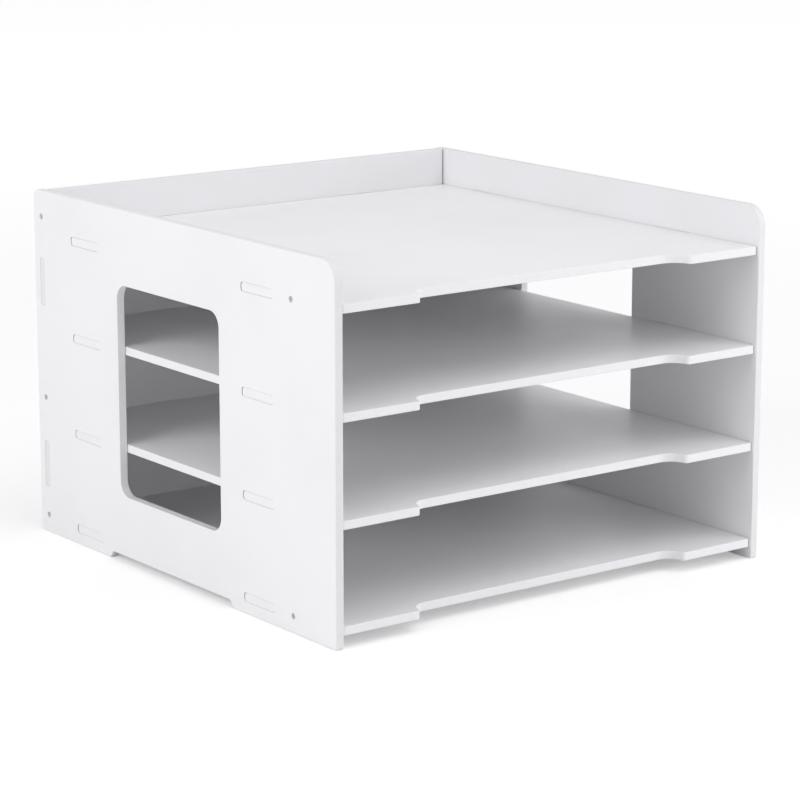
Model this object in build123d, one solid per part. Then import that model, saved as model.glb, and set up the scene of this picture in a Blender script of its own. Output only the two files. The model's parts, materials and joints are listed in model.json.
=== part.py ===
from build123d import *
from math import cos, radians, sin, tan
import os

# A tiered document organizer: four fixed shelves and a back, held between two
# side panels by tabs in slots and by small screws. All boards are one thickness.
# Millimetres. X runs left to right, Y from front to rear, Z up. The origin is on
# the floor, under the middle of the outer box.

# Boards
BOARD = 5.0                  # thickness of every board
EDGE_ROUND = 0.4             # rounding along the cut edges
OUTER_ROUND = 0.8            # the same around the outer face of a side panel
WINDOW_ROUND = 0.25          # the same around a window
BOARD_GAP = 0.4              # air between a shelf's edges and the faces they butt against
BACK_GAP = 0.9               # air between the back panel's edges and the side panels

# Tiers
TRAY_WIDTH = 298.0           # clear width between the side panels
TRAY_DEPTH = 300.5           # from the front edge of the side panels to the back panel
BASE_GAP = 7.3               # from the floor to the underside of the bottom shelf
TIER_PITCH = 58.7            # from one shelf to the next
TOP_RAIL = 23.6              # side panel above the top shelf
BACK_INSET = 6.5             # side panel behind the back panel

# Outline of the side panels
FRONT_TOP_RADIUS = 12.5
REAR_TOP_RADIUS = 5.0
REAR_FOOT_RADIUS = 3.0
FRONT_FOOT_RADIUS = 1.5
FRONT_FOOT = 99.8            # length of the front foot on the floor
REAR_FOOT = 80.7             # length of the rear foot on the floor
FOOT_HEIGHT = 4.2            # rise of the recess between the feet, and of the back panel
RECESS_SLOPE = 3.2           # run of the recess's slanted ends
RECESS_ROUND = 1.5           # rounding of the recess's corners

# Window in each side panel
WINDOW_FRONT = 23.3          # from the front row of tabs to the window
WINDOW_REAR = 20.0           # from the window to the rear row of tabs
WINDOW_SILL = 28.7           # from the top face of the bottom shelf up to the window
WINDOW_HEAD = 15.9           # from the window up to the underside of the top shelf
WINDOW_CORNER = 9.0

# Front edge of the shelves: two ears with a shallow notch between them
SHELF_SETBACK = 1.2          # shelf front behind the front edge of the side panels
EAR_LENGTH = 50.0            # straight front of each ear
EAR_CORNER = 1.5             # rounding of the ear beside the side panel
EAR_END_RADIUS = 2.5         # convex end of the ear
NOTCH_RADIUS = 10.0          # concave corner of the notch
NOTCH_STEP = 0.65            # straight run between those two curves
NOTCH_ANGLE = 80.0           # slant of that run, in degrees from the front edge

# Tabs and slots
TAB_LENGTH = 30.0            # shelf tabs, along the board's edge
FRONT_TAB_SETBACK = 57.7     # from the front edge of the side panels to the front tabs
REAR_TAB_SETBACK = 32.5      # from the rear tabs to the back panel
SHELF_BACK_TAB_INSET = 60.0  # from the side panel to the tabs that enter the back panel
BACK_TAB_LENGTH = 28.5       # tabs of the back panel
BACK_TAB_LOW = 24.8          # from the back panel's lower edge to its lower tabs
BACK_TAB_HIGH = 41.3         # from its upper tabs to its upper edge
TAB_CORNER = 1.6             # rounding of a tab's section
TAB_CLEARANCE = 0.15         # air around a tab in its slot
TAB_BACKLASH = 0.8           # air behind a shelf's side tab, which sits towards the front
TAB_SINK = 0.1               # tab end below the face it comes out of

# Screws
SHELF_SCREW_TO_TAB = 17.2    # from the screw's axis to the front tabs behind it
BACK_SCREW_LOW = 6.8         # from the back panel's lower edge to its lowest screws
BACK_SCREW_MIDDLE = 27.4     # from its lower tabs up to its middle screws
BACK_SCREW_HIGH = 15.9       # from its highest screws to its upper edge
HEAD_DIAMETER = 3.3
HEAD_HEIGHT = 1.3
HEAD_ROUND = 0.35            # rounding of the head's rim
HEAD_SINK = 0.9              # top of the head below the panel's outer face
HEAD_CLEARANCE = 0.15        # air around the head in its counterbore
THREAD_DIAMETER = 2.4
THREAD_DEPTH = 0.35
THREAD_PITCH = 1.1
THREAD_CLEARANCE = 0.05      # air around the thread's crests
SCREW_LENGTH = 13.0          # under the head
SCREW_TIP = 2.4              # length of the point
TIP_DIAMETER = 0.5
DRIVE_SPAN = 1.9             # cross recess in the head
DRIVE_WIDTH = 0.5
DRIVE_DEPTH = 0.6

# Places that follow from those sizes
SHELF_NAMES = ("bottom_shelf", "lower_shelf", "upper_shelf", "top_shelf")
SCREWED_SHELVES = ("bottom_shelf", "top_shelf")
SIDES = {"left": -1, "right": 1}
shelf_z = [BASE_GAP + tier * TIER_PITCH for tier in range(len(SHELF_NAMES))]
width = TRAY_WIDTH + 2 * BOARD
depth = TRAY_DEPTH + BOARD + BACK_INSET
height = shelf_z[-1] + BOARD + TOP_RAIL
front = -depth / 2
rear = depth / 2
back_face = front + TRAY_DEPTH
back_middle = back_face + BOARD / 2
inner_half = TRAY_WIDTH / 2
edge_round = min(EDGE_ROUND, 0.4 * BOARD)
outer_round = min(OUTER_ROUND, 0.4 * BOARD)
window_round = min(WINDOW_ROUND, 0.4 * BOARD)
tab_corner = min(TAB_CORNER, 0.4 * BOARD)
notch_turn = radians(NOTCH_ANGLE)
ear_end_run = EAR_END_RADIUS * tan(notch_turn / 2)
notch_slant = ear_end_run + NOTCH_STEP + NOTCH_RADIUS * tan(notch_turn / 2)
notch_depth = notch_slant * sin(notch_turn)
notch_slope = notch_slant * cos(notch_turn)
front_tab_start = front + FRONT_TAB_SETBACK
rear_tab_end = back_face - REAR_TAB_SETBACK
side_tab_y = (front_tab_start + TAB_LENGTH / 2, rear_tab_end - TAB_LENGTH / 2)
shelf_back_tab_x = inner_half - SHELF_BACK_TAB_INSET - TAB_LENGTH / 2
back_tab_z = (
    FOOT_HEIGHT + BACK_TAB_LOW + BACK_TAB_LENGTH / 2,
    height - BACK_TAB_HIGH - BACK_TAB_LENGTH / 2,
)
shelf_screw_y = front_tab_start - SHELF_SCREW_TO_TAB
back_screw_z = (
    FOOT_HEIGHT + BACK_SCREW_LOW,
    back_tab_z[0] + BACK_TAB_LENGTH / 2 + BACK_SCREW_MIDDLE,
    height - BACK_SCREW_HIGH,
)


def rounded_outline(corners):
    """A closed outline from (x, y, radius) corners, each rounded to its own radius."""
    points = [(x, y) for x, y, _ in corners]
    outline = make_face(Polyline(*points, close=True))
    for x, y, radius in corners:
        corner = outline.vertices().sort_by_distance((x, y, 0))[0]
        outline = fillet(corner, radius)
    return outline


def eased_board(plane, outline, low_round=edge_round, high_round=edge_round):
    """A flat board cut to an outline, with its cut edges rounded along its two faces."""
    board = extrude(plane * outline, BOARD)
    through = Axis((0, 0, 0), plane.z_dir)
    board = fillet(board.faces().sort_by(through)[0].edges(), low_round)
    return fillet(board.faces().sort_by(through)[-1].edges(), high_round)


def tab_section(across_size, up_size, grow=0.0):
    """Section of a tab, or of its slot when it grows by the clearance on every side."""
    return RectangleRounded(across_size + 2 * grow, up_size + 2 * grow, tab_corner + grow)


def across(section, y, z, half_length):
    """A bar of a (Y, Z) section that runs across the object, the same length each way."""
    plane = Plane.YZ.offset(-half_length)
    return extrude(plane * Pos(y, z) * section, 2 * half_length)


def screw_plane(side, y, z):
    """Seat of a screw on a side panel: its origin is at the top of the head, Z points out."""
    x = side * (width / 2 - HEAD_SINK)
    return Plane(origin=(x, y, z), x_dir=(0, 1, 0), z_dir=(side, 0, 0))


def screw_hole():
    """Counterbore for the head and a hole for the thread."""
    head_radius = HEAD_DIAMETER / 2 + HEAD_CLEARANCE
    counterbore = Pos(0, 0, -HEAD_HEIGHT) * Cylinder(
        head_radius, HEAD_HEIGHT + 2 * HEAD_SINK, align=(Align.CENTER, Align.CENTER, Align.MIN)
    )
    bore_radius = THREAD_DIAMETER / 2 + THREAD_CLEARANCE
    bore_length = HEAD_HEIGHT + SCREW_LENGTH + THREAD_CLEARANCE
    bore = Cylinder(bore_radius, bore_length, align=(Align.CENTER, Align.CENTER, Align.MAX))
    return counterbore + bore


def screw():
    """A pan head screw with a cross recess, its thread as sharp rings."""
    head_radius = HEAD_DIAMETER / 2
    crest = THREAD_DIAMETER / 2
    root = crest - THREAD_DEPTH
    under_head = -HEAD_HEIGHT
    rings = int((SCREW_LENGTH - SCREW_TIP) / THREAD_PITCH)
    profile = [(0, 0), (head_radius, 0), (head_radius, under_head)]
    for ring in range(rings):
        top = under_head - ring * THREAD_PITCH
        profile += [(root, top), (crest, top - THREAD_PITCH / 2)]
    profile += [
        (root, under_head - rings * THREAD_PITCH),
        (root, under_head - SCREW_LENGTH + SCREW_TIP),
        (TIP_DIAMETER / 2, under_head - SCREW_LENGTH),
        (0, under_head - SCREW_LENGTH),
    ]
    body = revolve(make_face(Plane.XZ * Polyline(*profile, close=True)), Axis.Z)
    rim = body.edges().filter_by(GeomType.CIRCLE).sort_by(Axis.Z)[-1]
    body = fillet(rim, HEAD_ROUND)
    for arm in ((DRIVE_SPAN, DRIVE_WIDTH), (DRIVE_WIDTH, DRIVE_SPAN)):
        body -= Pos(0, 0, -DRIVE_DEPTH / 2) * Box(*arm, DRIVE_DEPTH)
    return body


def shelf_tab_slots():
    """Slots for the shelves' side tabs: the room left over is at their rear end."""
    spare = TAB_BACKLASH - TAB_CLEARANCE
    section = tab_section(TAB_LENGTH + spare, BOARD, TAB_CLEARANCE)
    return [
        across(section, y + spare / 2, z + BOARD / 2, width)
        for z in shelf_z
        for y in side_tab_y
    ]


def back_tab_slots():
    """Slots for the back panel's tabs."""
    section = tab_section(BOARD, BACK_TAB_LENGTH, TAB_CLEARANCE)
    return [across(section, back_middle, z, width) for z in back_tab_z]


def shelf_screw_planes(side):
    """Seats of the screws that enter the ends of the screwed shelves."""
    heights = [z for name, z in zip(SHELF_NAMES, shelf_z) if name in SCREWED_SHELVES]
    return [screw_plane(side, shelf_screw_y, z + BOARD / 2) for z in heights]


def back_screw_planes(side):
    """Seats of the screws that enter the edge of the back panel."""
    return [screw_plane(side, back_middle, z) for z in back_screw_z]


def side_panel(side):
    """A side panel on two feet, with its window, slots and screw holes."""
    recess_front = front + FRONT_FOOT
    recess_rear = rear - REAR_FOOT
    outline = rounded_outline(
        [
            (front, 0, FRONT_FOOT_RADIUS),
            (recess_front, 0, RECESS_ROUND),
            (recess_front + RECESS_SLOPE, FOOT_HEIGHT, RECESS_ROUND),
            (recess_rear - RECESS_SLOPE, FOOT_HEIGHT, RECESS_ROUND),
            (recess_rear, 0, RECESS_ROUND),
            (rear, 0, REAR_FOOT_RADIUS),
            (rear, height, REAR_TOP_RADIUS),
            (front, height, FRONT_TOP_RADIUS),
        ]
    )
    window_y = (front_tab_start + TAB_LENGTH + WINDOW_FRONT, rear_tab_end - TAB_LENGTH - WINDOW_REAR)
    window_z = (shelf_z[0] + BOARD + WINDOW_SILL, shelf_z[-1] - WINDOW_HEAD)
    window = RectangleRounded(window_y[1] - window_y[0], window_z[1] - window_z[0], WINDOW_CORNER)
    outer = side * width / 2
    rounds = (outer_round, edge_round) if side < 0 else (edge_round, outer_round)
    panel = eased_board(Plane.YZ.offset(min(outer, outer - side * BOARD)), outline, *rounds)
    panel -= across(window, sum(window_y) / 2, sum(window_z) / 2, width)
    rims = [face.inner_wires() for face in panel.faces().filter_by(Axis.X)]
    panel = fillet([edge for wires in rims for edge in wires.edges()], window_round)
    panel -= shelf_tab_slots() + back_tab_slots()
    holes = [plane * screw_hole() for plane in shelf_screw_planes(side) + back_screw_planes(side)]
    return panel - holes


def shelf(name, z):
    """A shelf with two ears at the front, side tabs and tabs for the back panel."""
    half = inner_half - BOARD_GAP
    ear_end = half - EAR_LENGTH - ear_end_run
    shelf_front = front + SHELF_SETBACK
    shelf_rear = back_face - BOARD_GAP
    notch_floor = shelf_front + notch_depth
    right_half = [
        (half, shelf_rear, EAR_CORNER),
        (half, shelf_front, EAR_CORNER),
        (ear_end, shelf_front, EAR_END_RADIUS),
        (ear_end - notch_slope, notch_floor, NOTCH_RADIUS),
    ]
    left_half = [(-x, y, radius) for x, y, radius in reversed(right_half)]
    board = eased_board(Plane.XY.offset(z), rounded_outline(right_half + left_half))
    side_section = tab_section(TAB_LENGTH, BOARD)
    tabs = [across(side_section, y, z + BOARD / 2, width / 2 - TAB_SINK) for y in side_tab_y]
    back_tip = back_face + BOARD - TAB_SINK
    for x in (-shelf_back_tab_x, shelf_back_tab_x):
        bar = extrude(Plane.XZ * Pos(x, z + BOARD / 2) * side_section, -back_tip)
        tabs.append(bar)
    board += tabs
    if name in SCREWED_SHELVES:
        seats = [screw_plane(side, shelf_screw_y, z + BOARD / 2) for side in SIDES.values()]
        board -= [plane * screw_hole() for plane in seats]
    return board


def back_panel():
    """The back, with tabs into the side panels and slots for the shelves' rear tabs."""
    half = inner_half - BACK_GAP
    outline = Pos(0, (FOOT_HEIGHT + height) / 2) * Rectangle(2 * half, height - FOOT_HEIGHT)
    board = eased_board(Plane.XZ.offset(-back_face - BOARD), outline)
    section = tab_section(BOARD, BACK_TAB_LENGTH)
    board += [across(section, back_middle, z, width / 2 - TAB_SINK) for z in back_tab_z]
    slot = tab_section(TAB_LENGTH, BOARD, TAB_CLEARANCE)
    slot_plane = Plane.XZ.offset(-back_face - 2 * BOARD)
    for z in shelf_z:
        for x in (-shelf_back_tab_x, shelf_back_tab_x):
            board -= extrude(slot_plane * Pos(x, z + BOARD / 2) * slot, 2 * BOARD)
    for side in SIDES.values():
        board -= [plane * screw_hole() for plane in back_screw_planes(side)]
    return board


def screw_group(planes):
    """Separate screws that share one node."""
    return Compound(children=[plane * screw() for plane in planes])


parts = {"back_panel": back_panel()}
for shelf_name, height_above_floor in zip(SHELF_NAMES, shelf_z):
    parts[shelf_name] = shelf(shelf_name, height_above_floor)
for side_name, direction in SIDES.items():
    parts[f"{side_name}_side_panel"] = side_panel(direction)
    parts[f"{side_name}_shelf_screws"] = screw_group(shelf_screw_planes(direction))
    parts[f"{side_name}_back_screws"] = screw_group(back_screw_planes(direction))

os.makedirs("parts", exist_ok=True)
for node, shape in parts.items():
    export_step(shape, f"parts/{node}.step")
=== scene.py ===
"""Looks of a tiered document organizer: its board and screw finishes, and a plain studio to see it in."""

import json
import math

import bmesh
import bpy
from bpy.props import FloatProperty, FloatVectorProperty, PointerProperty
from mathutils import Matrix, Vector


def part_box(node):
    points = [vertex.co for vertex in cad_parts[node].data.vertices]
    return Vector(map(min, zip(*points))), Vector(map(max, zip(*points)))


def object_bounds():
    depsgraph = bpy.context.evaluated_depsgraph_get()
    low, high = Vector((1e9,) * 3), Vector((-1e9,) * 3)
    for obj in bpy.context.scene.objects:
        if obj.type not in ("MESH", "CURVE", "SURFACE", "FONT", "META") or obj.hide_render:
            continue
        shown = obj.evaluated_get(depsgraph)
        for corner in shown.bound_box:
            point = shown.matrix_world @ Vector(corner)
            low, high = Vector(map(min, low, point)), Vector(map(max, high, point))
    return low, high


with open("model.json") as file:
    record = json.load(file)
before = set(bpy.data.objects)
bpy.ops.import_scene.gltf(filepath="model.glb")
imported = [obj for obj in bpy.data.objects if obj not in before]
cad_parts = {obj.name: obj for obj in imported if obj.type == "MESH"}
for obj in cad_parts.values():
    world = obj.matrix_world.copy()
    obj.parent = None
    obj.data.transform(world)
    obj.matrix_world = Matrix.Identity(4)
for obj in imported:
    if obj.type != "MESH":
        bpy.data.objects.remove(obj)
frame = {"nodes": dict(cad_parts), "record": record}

CAD_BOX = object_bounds()
CAD_MIDDLE = (CAD_BOX[0] + CAD_BOX[1]) / 2

bl_info = {
    "name": "Tiered document organizer",
    "version": (1, 0, 0),
    "blender": (4, 5, 0),
    "location": "View3D > Sidebar > Organizer",
    "description": "Dresses the organizer's boards and screws and sets up its studio",
    "category": "Object",
}

SIDE_PANELS = ("left_side_panel", "right_side_panel")
BACK_PANELS = ("back_panel",)
SHELVES = ("bottom_shelf", "lower_shelf", "upper_shelf", "top_shelf")
SCREWS = ("left_shelf_screws", "right_shelf_screws", "left_back_screws", "right_back_screws")

FINISHES = {finish["slot"]: finish for finish in frame["record"]["materials"]}
BOARD_WHITE = FINISHES["foam_board"]["base_color"]
SCREW_GREY = FINISHES["screw_steel"]["base_color"]

ACROSS, ALONG, UP = Vector((1, 0, 0)), Vector((0, 1, 0)), Vector((0, 0, 1))
MICROMETRE = 1e-6
WHITE = (1, 1, 1, 1)

# Where each mark starts, and where it is full, in the values of the pattern that it comes from
SKIN_RANGE = (0.75, 0.98)     # cosine between the surface and the sheet
HANDLED_RANGE = (-0.12, 0.3)  # handling clouds
PORE_RANGE = (0.34, 0.12)     # distance from the middle of a cell
DULL_RANGE = (-0.15, 0.25)    # spangle clouds

# How far a pattern is drawn out into lines: 0 leaves it even, and towards 1 the lines grow long
DIE_LINE_DRAW = 0.995
TOOL_MARK_DRAW = 0.97

# What each pattern adds to the roughness under it
HANDLING_ROUGHNESS = 0.16
DIE_LINE_ROUGHNESS = 0.06
PEEL_ROUGHNESS = 0.04
TOOL_MARK_ROUGHNESS = 0.12
PORE_ROUGHNESS = 0.1
SPANGLE_ROUGHNESS = 0.25
RECESS_ROUGHNESS = 0.2

PORE_SHADE = 0.5                           # how far a pore darkens towards its painted shade
BOARD_IOR = 1.5
SCRATCH_SCALES = (400.0, 9000.0, 2500.0)  # scratches to the metre: into the head, across it and up it

FLOOR_DROP = 5e-5                         # keeps the floor's plane apart from the feet
SENSOR_WIDTH = 36.0                       # in millimetres, as Blender counts it
NEAR_CLIP, FAR_CLIP = 0.05, 100.0


def colour(name, description, default):
    return FloatVectorProperty(
        name=name, description=description, default=default, subtype="COLOR", size=3, min=0, max=1
    )


def share(name, description, default):
    return FloatProperty(
        name=name, description=description, default=default, subtype="FACTOR", min=0, max=1
    )


def length(name, description, default):
    return FloatProperty(
        name=name, description=description, default=default, unit="LENGTH", min=0, precision=6
    )


def position(name, description, default):
    return FloatVectorProperty(
        name=name, description=description, default=default, subtype="TRANSLATION", unit="LENGTH", size=3
    )


def angle(name, description, default):
    return FloatProperty(name=name, description=description, default=default, subtype="ANGLE")


def watts(name, description, default):
    return FloatProperty(name=name, description=description, default=default, unit="POWER", min=0)


class BoardFinish(bpy.types.PropertyGroup):
    """Foamed plastic board: satin skins on both faces and routed edges"""

    face_colour: colour("Face", "Colour of the satin skins", BOARD_WHITE)
    handled_colour: colour("Handled face", "Tint where the skins have been handled", (0.845, 0.842, 0.85))
    # The routed edges' colours are partly the cut foam's own tone and partly painted light: the sides' and
    # back's edges are painted darker as shade, and the shelves' edges lighter, for how each fell in light
    edge_colour_and_painted_light: colour("Edge", "Colour of the routed edges of the sides and the back", (0.8, 0.8, 0.815))
    shelf_edge_colour_and_painted_light: colour("Shelf edge", "Colour of the shelves' smoother edges", (0.87, 0.87, 0.885))
    # Painted shade: the open cells are coloured darker for the shade down in them
    pore_shade_colour: colour("Pores", "Colour in the open cells of the routed edges", (0.66, 0.66, 0.68))
    face_roughness: share("Face roughness", "Dullness of the skins", 0.43)
    edge_roughness: share("Edge roughness", "Dullness of the routed edges", 0.62)
    handling_width: length("Handling patches", "Width of the patches where the gloss changes", 0.07)
    peel_width: length("Peel width", "Spacing of the skins' faint dimples", 0.0016)
    peel_height: length("Peel height", "Height of the skins' faint dimples", 7e-6)
    die_line_pitch: length("Die line spacing", "Spacing of the faint lines along the sheet", 0.004)
    die_line_height: length("Die line height", "Height of the faint lines along the sheet", 2.5e-6)
    tool_mark_pitch: length("Tool mark spacing", "Spacing of the router's marks on the edges", 0.0004)
    tool_mark_height: length("Tool mark height", "Height of the router's marks on the edges", 9e-6)
    pore_width: length("Pore width", "Spacing of the open cells in the edges", 0.00055)
    pore_depth: length("Pore depth", "Depth of the open cells in the edges", 22e-6)


class ScrewFinish(bpy.types.PropertyGroup):
    """Zinc plated steel screws"""

    plating_colour: colour("Plating", "Colour of the zinc", SCREW_GREY)
    dull_colour: colour("Dull plating", "Colour of the zinc where it has dulled", (0.84, 0.84, 0.85))
    # Painted shade: the cross recess is darkened in colour where shade falls in it
    recess_shade_colour: colour("Recess", "Colour down in the cross recess", (0.66, 0.66, 0.68))
    metal: share("Metal", "How metallic the dulled zinc still looks", 0.45)
    roughness: share("Roughness", "Dullness of the zinc", 0.36)
    spangle_width: length("Spangle width", "Width of the zinc's dull patches", 0.0006)
    spangle_height: length("Spangle height", "Height of the zinc's dull patches", 6e-6)
    scratch_height: length("Scratch height", "Height of the fine scratches", 4e-6)
    recess_start: length("Recess start", "Depth under the head's top where the tint starts", 0.0002)
    recess_full: length("Recess full", "Depth under the head's top where the tint is full", 0.00055)


class StudioSettings(bpy.types.PropertyGroup):
    """Floor, light and camera"""

    floor_colour: colour("Floor", "Colour of the floor as it lights the object", (0.9, 0.9, 0.9))
    shadow_share: share("Shadow", "How much of the floor's shadow shows", 0.82)
    near_lift: share("Near lift", "White added to the seen floor at the object", 0.3)
    far_lift: share("Far lift", "White added to the seen floor away from the object", 0.535)
    lift_start: length("Lift start", "Distance from the object where the far lift starts", 0.3)
    lift_full: length("Lift full", "Distance from the object where the far lift is full", 2.2)
    floor_reach: length("Floor reach", "Distance from the object to the floor's edge", 14.0)
    sky_colour: colour("Sky", "Tint of the even light from all round", (0.99, 0.972, 1.0))
    sky_strength: FloatProperty(
        name="Sky strength", description="Strength of the even light from all round", default=0.53, min=0
    )
    left_place: position("Left softbox", "Where the softbox at the left hangs", (-1.38, -0.12, 0.8))
    left_width: length("Left width", "Width of the softbox at the left", 1.0)
    left_power: watts("Left power", "Power of the softbox at the left", 8.5)
    right_place: position("Right softbox", "Where the softbox at the front right stands", (0.65, -0.8, 0.16))
    right_width: length("Right width", "Width of the softbox at the front right", 0.5)
    right_power: watts("Right power", "Power of the softbox at the front right", 2.7)
    top_place: position("Top softbox", "Where the softbox overhead hangs", (0.5, -1.1, 2.3))
    top_width: length("Top width", "Width of the softbox overhead", 2.2)
    top_power: watts("Top power", "Power of the softbox overhead", 20.0)
    camera_place: position("Camera", "Where the camera stands", (-1.042518, -1.400588, 0.485838))
    camera_turn: angle("Turn", "Camera's turn to the right of the depth axis", 0.64221)
    camera_tilt: angle("Tilt", "Camera's tilt below the horizon", 0.22357)
    camera_lens: FloatProperty(
        name="Lens",
        description=f"Focal length on a sensor {SENSOR_WIDTH:g} mm wide",
        default=134.26,
        unit="CAMERA",
        min=1,
    )


class Wire:
    """A socket on its way through a material; arithmetic on it adds Math nodes"""

    def __init__(self, socket):
        self.socket = socket

    def maths(self, operation, first, second=0.0):
        nodes = Nodes(self.socket.id_data)
        return nodes.add("ShaderNodeMath", {"operation": operation}, {"Value": first, "Value_001": second})

    def __add__(self, other):
        return self.maths("ADD", self, other)

    def __radd__(self, other):
        return self.maths("ADD", other, self)

    def __sub__(self, other):
        return self.maths("SUBTRACT", self, other)

    def __rsub__(self, other):
        return self.maths("SUBTRACT", other, self)

    def __mul__(self, other):
        return self.maths("MULTIPLY", self, other)

    def __rmul__(self, other):
        return self.maths("MULTIPLY", other, self)

    def __abs__(self):
        return self.maths("ABSOLUTE", self)

    def __or__(self, other):
        return self.maths("MAXIMUM", self, other)


class Nodes:
    """The nodes of one material or world"""

    def __init__(self, tree):
        self.tree = tree

    def add(self, kind, settings=None, sockets=None, output=None):
        """Adds a node with its settings and its sockets, by identifier, and gives the wire from an output"""
        node = self.tree.nodes.new(kind)
        for name, value in (settings or {}).items():
            setattr(node, name, value)
        inputs = {socket.identifier: socket for socket in node.inputs}
        for name, value in (sockets or {}).items():
            if isinstance(value, Wire):
                self.tree.links.new(value.socket, inputs[name])
            else:
                inputs[name].default_value = value
        outputs = {socket.identifier: socket for socket in node.outputs}
        if not outputs:
            return None
        return Wire(outputs[output] if output else node.outputs[0])

    def stretch(self, place, scales):
        """That place with each of its coordinates scaled"""
        sockets = {"Vector": place, "Vector_001": scales}
        return self.add("ShaderNodeVectorMath", {"operation": "MULTIPLY"}, sockets, "Vector")

    def along(self, vector, axis):
        """How far a vector goes along an axis"""
        sockets = {"Vector": vector, "Vector_001": axis}
        return self.add("ShaderNodeVectorMath", {"operation": "DOT_PRODUCT"}, sockets, "Value")

    def clouds(self, place, width, detail=2.0):
        """Soft noise about zero, from about -0.5 to 0.5, in patches of that width"""
        sockets = {"Vector": place, "Scale": 1 / width, "Detail": detail}
        return self.add("ShaderNodeTexNoise", None, sockets, "Fac") - 0.5

    def lines(self, place, pitch, axis, draw):
        """Soft noise about zero in lines of that pitch, drawn out along an axis"""
        scales = (Vector((1, 1, 1)) - axis * draw) / pitch
        return self.clouds(self.stretch(place, scales), 1.0, detail=1.0)

    def step(self, value, low, high):
        """0 below low, 1 above high, and smooth between them; low above high turns it over"""
        if low > high:
            return 1 - self.step(value, high, low)
        return self.add(
            "ShaderNodeMapRange",
            {"interpolation_type": "SMOOTHSTEP"},
            {"Value": value, "From Min": low, "From Max": high},
            "Result",
        )

    def blend(self, amount, first, second):
        """From the first colour at 0 to the second at 1"""
        ends = [end if isinstance(end, Wire) else (*end, 1) for end in (first, second)]
        sockets = {"Factor_Float": amount, "A_Color": ends[0], "B_Color": ends[1]}
        return self.add("ShaderNodeMix", {"data_type": "RGBA"}, sockets, "Result_Color")

    def mix(self, amount, first, second):
        """From the first shader at 0 to the second at 1"""
        sockets = {"Fac": amount, "Shader": first, "Shader_001": second}
        return self.add("ShaderNodeMixShader", None, sockets)

    def bump(self, micrometres):
        """The normal of a surface whose height is given in micrometres"""
        sockets = {"Height": micrometres, "Distance": MICROMETRE, "Strength": 1.0}
        return self.add("ShaderNodeBump", None, sockets)


def new_material(name):
    material = bpy.data.materials.new(name)
    material.use_nodes = True
    material.node_tree.nodes.clear()
    return material, Nodes(material.node_tree)


def give(names, material):
    """Shows that material, alone, on the nodes of those names"""
    for name in names:
        mesh = frame["nodes"][name].data
        mesh.materials.clear()
        mesh.materials.append(material)


def board_material(name, finish, edge_colour_and_painted_light, face_axis, sheet_axis):
    """Foamed plastic board whose skins face along face_axis and whose sheet was drawn along sheet_axis"""
    material, nodes = new_material(name)
    place = nodes.add("ShaderNodeTexCoord", output="Object")
    normal = nodes.add("ShaderNodeTexCoord", output="Normal")

    # the skins face one way, and whatever faces elsewhere was routed
    skin = nodes.step(abs(nodes.along(normal, face_axis)), *SKIN_RANGE)
    routed = 1 - skin

    handling = nodes.clouds(place, finish.handling_width, detail=3.0)
    peel = nodes.clouds(place, finish.peel_width)
    die_lines = nodes.lines(place, finish.die_line_pitch, sheet_axis, DIE_LINE_DRAW)
    tool_marks = nodes.lines(place, finish.tool_mark_pitch, face_axis, TOOL_MARK_DRAW)
    cell_sockets = {"Vector": place, "Scale": 1 / finish.pore_width}
    cells = nodes.add("ShaderNodeTexVoronoi", None, cell_sockets, "Distance")
    # the pores also darken the routed colour, as painted shade in the open cells
    pores = nodes.step(cells, *PORE_RANGE)

    handled = nodes.step(handling, *HANDLED_RANGE)
    skin_colour = nodes.blend(handled, finish.face_colour, finish.handled_colour)
    # routed edges: partly the foam's own tone, partly painted light for how each part's edges are lit
    routed_colour_and_painted_light = nodes.blend(pores * PORE_SHADE, edge_colour_and_painted_light, finish.pore_shade_colour)
    skin_roughness = (
        finish.face_roughness
        + handling * HANDLING_ROUGHNESS
        + die_lines * DIE_LINE_ROUGHNESS
        + peel * PEEL_ROUGHNESS
    )
    routed_roughness = finish.edge_roughness + tool_marks * TOOL_MARK_ROUGHNESS + pores * PORE_ROUGHNESS
    skin_height = (
        peel * (finish.peel_height / MICROMETRE) + die_lines * (finish.die_line_height / MICROMETRE)
    )
    routed_height = (
        tool_marks * (finish.tool_mark_height / MICROMETRE) - pores * (finish.pore_depth / MICROMETRE)
    )
    board = nodes.add(
        "ShaderNodeBsdfPrincipled",
        None,
        {
            "Base Color": nodes.blend(skin, routed_colour_and_painted_light, skin_colour),
            "Roughness": skin * skin_roughness + routed * routed_roughness,
            "IOR": BOARD_IOR,
            "Normal": nodes.bump(skin * skin_height + routed * routed_height),
        },
    )
    nodes.add("ShaderNodeOutputMaterial", None, {"Surface": board})
    return material


def screw_material(name, finish, head_top):
    """Zinc plate that dulls in patches, with painted shade darkening the cross recess, head_top from the
    middle plane
    """
    material, nodes = new_material(name)
    place = nodes.add("ShaderNodeTexCoord", output="Object")
    depth = head_top - abs(nodes.along(place, ACROSS))
    # painted shade: deeper in the cross recess the colour darkens, and the zinc dulls
    recess = nodes.step(depth, finish.recess_start, finish.recess_full)
    spangle = nodes.clouds(place, finish.spangle_width, detail=3.0)
    scratches = nodes.clouds(nodes.stretch(place, SCRATCH_SCALES), 1.0)
    dull = nodes.step(spangle, *DULL_RANGE)
    plating = nodes.blend(dull, finish.plating_colour, finish.dull_colour)
    height = (
        scratches * (finish.scratch_height / MICROMETRE) + spangle * (finish.spangle_height / MICROMETRE)
    )
    zinc = nodes.add(
        "ShaderNodeBsdfPrincipled",
        None,
        {
            "Base Color": nodes.blend(recess, plating, finish.recess_shade_colour),
            "Metallic": finish.metal,
            "Roughness": finish.roughness + spangle * SPANGLE_ROUGHNESS + recess * RECESS_ROUGHNESS,
            "Normal": nodes.bump(height),
        },
    )
    nodes.add("ShaderNodeOutputMaterial", None, {"Surface": zinc})
    return material


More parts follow.
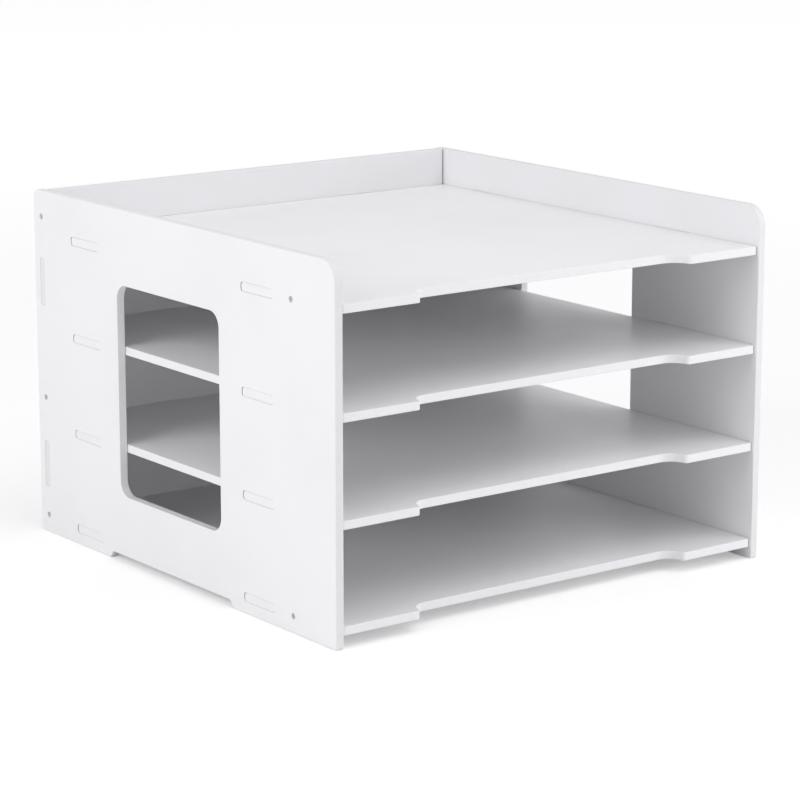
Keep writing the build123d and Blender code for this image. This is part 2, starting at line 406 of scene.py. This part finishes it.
def seen_ray(nodes):
    """1 on rays that carry a picture: straight from the camera, or by way of gloss or glass"""
    rays = [
        nodes.add("ShaderNodeLightPath", output=kind)
        for kind in ("Is Camera Ray", "Is Glossy Ray", "Is Transmission Ray")
    ]
    return rays[0] | rays[1] | rays[2]


def floor_material(name, studio):
    """A pale floor that lights the object plainly, and is seen as white with a soft shadow on it"""
    material, nodes = new_material(name)
    plain = nodes.add("ShaderNodeBsdfDiffuse", None, {"Color": (*studio.floor_colour, 1)})
    kept = studio.shadow_share
    shadowed = nodes.add("ShaderNodeBsdfDiffuse", None, {"Color": (kept, kept, kept, 1)})
    place = nodes.add("ShaderNodeTexCoord", output="Object")
    distance = nodes.add("ShaderNodeVectorMath", {"operation": "LENGTH"}, {"Vector": place}, "Value")
    away = nodes.step(distance, studio.lift_start, studio.lift_full)
    near, far = [
        nodes.add("ShaderNodeEmission", None, {"Color": WHITE, "Strength": lift})
        for lift in (studio.near_lift, studio.far_lift)
    ]
    lifted = nodes.mix(away, near, far)
    white = nodes.add("ShaderNodeAddShader", None, {"Shader": shadowed, "Shader_001": lifted})
    floor = nodes.mix(seen_ray(nodes), plain, white)
    nodes.add("ShaderNodeOutputMaterial", None, {"Surface": floor})
    return material


def light_world(studio):
    """Even light from all round, seen as white"""
    world = bpy.data.worlds.new("studio_sky")
    world.use_nodes = True
    world.node_tree.nodes.clear()
    nodes = Nodes(world.node_tree)
    lighting = nodes.add(
        "ShaderNodeBackground", None, {"Color": (*studio.sky_colour, 1), "Strength": studio.sky_strength}
    )
    white = nodes.add("ShaderNodeBackground", None, {"Color": WHITE, "Strength": 1.0})
    nodes.add("ShaderNodeOutputWorld", None, {"Surface": nodes.mix(seen_ray(nodes), lighting, white)})
    bpy.context.scene.world = world


def add_softbox(name, place, width, power):
    """A square softbox that faces the object"""
    lamp = bpy.data.lights.new(name, "AREA")
    lamp.size = width
    lamp.energy = power
    softbox = bpy.data.objects.new(name, lamp)
    softbox.location = place
    softbox.rotation_euler = (CAD_MIDDLE - place).to_track_quat("-Z", "Y").to_euler()
    # unseen also in gloss, where a low view would show its glare on the satin board
    softbox.visible_camera = False
    softbox.visible_glossy = False
    bpy.context.scene.collection.objects.link(softbox)


def add_floor(studio):
    mesh = bpy.data.meshes.new("floor")
    shape = bmesh.new()
    bmesh.ops.create_grid(shape, x_segments=1, y_segments=1, size=studio.floor_reach)
    shape.to_mesh(mesh)
    shape.free()
    floor = bpy.data.objects.new("floor", mesh)
    floor.location.z = CAD_BOX[0].z - FLOOR_DROP
    floor.data.materials.append(floor_material("pale_floor", studio))
    bpy.context.scene.collection.objects.link(floor)


def add_camera(studio):
    lens = bpy.data.cameras.new("camera")
    lens.sensor_width = SENSOR_WIDTH
    lens.lens = studio.camera_lens
    lens.clip_start, lens.clip_end = NEAR_CLIP, FAR_CLIP
    camera = bpy.data.objects.new("camera", lens)
    camera.location = studio.camera_place
    camera.rotation_euler = (math.pi / 2 - studio.camera_tilt, 0.0, -studio.camera_turn)
    bpy.context.scene.collection.objects.link(camera)
    bpy.context.scene.camera = camera


class ORGANIZER_OT_side_panels(bpy.types.Operator):
    """Finish both side panels"""

    bl_idname = "organizer.side_panels"
    bl_label = "Side panels"

    def execute(self, context):
        finish = context.scene.organizer_board
        give(SIDE_PANELS, board_material("side_board", finish, finish.edge_colour_and_painted_light, ACROSS, ALONG))
        return {"FINISHED"}


class ORGANIZER_OT_back_panel(bpy.types.Operator):
    """Finish the back panel"""

    bl_idname = "organizer.back_panel"
    bl_label = "Back panel"

    def execute(self, context):
        finish = context.scene.organizer_board
        give(BACK_PANELS, board_material("back_board", finish, finish.edge_colour_and_painted_light, ALONG, ACROSS))
        return {"FINISHED"}


class ORGANIZER_OT_shelves(bpy.types.Operator):
    """Finish the four shelves"""

    bl_idname = "organizer.shelves"
    bl_label = "Shelves"

    def execute(self, context):
        finish = context.scene.organizer_board
        give(SHELVES, board_material("shelf_board", finish, finish.shelf_edge_colour_and_painted_light, UP, ALONG))
        return {"FINISHED"}


class ORGANIZER_OT_screws(bpy.types.Operator):
    """Finish the screws of both sides"""

    bl_idname = "organizer.screws"
    bl_label = "Screws"

    def execute(self, context):
        head_top = max(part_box(name)[1].x for name in SCREWS)
        give(SCREWS, screw_material("zinc_screws", context.scene.organizer_screws, head_top))
        return {"FINISHED"}


class ORGANIZER_OT_studio(bpy.types.Operator):
    """Set up the floor, the light and the camera"""

    bl_idname = "organizer.studio"
    bl_label = "Studio"

    def execute(self, context):
        studio = context.scene.organizer_studio
        context.scene.view_settings.view_transform = "Standard"
        add_floor(studio)
        light_world(studio)
        add_softbox("left_softbox", studio.left_place, studio.left_width, studio.left_power)
        add_softbox("right_softbox", studio.right_place, studio.right_width, studio.right_power)
        add_softbox("top_softbox", studio.top_place, studio.top_width, studio.top_power)
        add_camera(studio)
        return {"FINISHED"}


class ORGANIZER_PT_pieces(bpy.types.Panel):
    """The organizer's pieces and studio"""

    bl_label = "Organizer"
    bl_idname = "ORGANIZER_PT_pieces"
    bl_space_type = "VIEW_3D"
    bl_region_type = "UI"
    bl_category = "Organizer"

    def draw(self, context):
        for operator in OPERATORS:
            self.layout.operator(operator.bl_idname)
        for group in GROUPS:
            settings = getattr(context.scene, group)
            box = self.layout.box()
            for name in settings.__annotations__:
                box.prop(settings, name)


OPERATORS = (
    ORGANIZER_OT_side_panels,
    ORGANIZER_OT_back_panel,
    ORGANIZER_OT_shelves,
    ORGANIZER_OT_screws,
    ORGANIZER_OT_studio,
)
GROUPS = {
    "organizer_board": BoardFinish,
    "organizer_screws": ScrewFinish,
    "organizer_studio": StudioSettings,
}


def register():
    for kind in (*GROUPS.values(), *OPERATORS, ORGANIZER_PT_pieces):
        bpy.utils.register_class(kind)
    for name, group in GROUPS.items():
        setattr(bpy.types.Scene, name, PointerProperty(type=group))


def unregister():
    for name in GROUPS:
        delattr(bpy.types.Scene, name)
    for kind in reversed((*GROUPS.values(), *OPERATORS, ORGANIZER_PT_pieces)):
        bpy.utils.unregister_class(kind)


def main():
    register()
    bpy.ops.organizer.side_panels()
    bpy.ops.organizer.back_panel()
    bpy.ops.organizer.shelves()
    bpy.ops.organizer.screws()
    bpy.ops.organizer.studio()


if __name__ == "__main__":
    main()
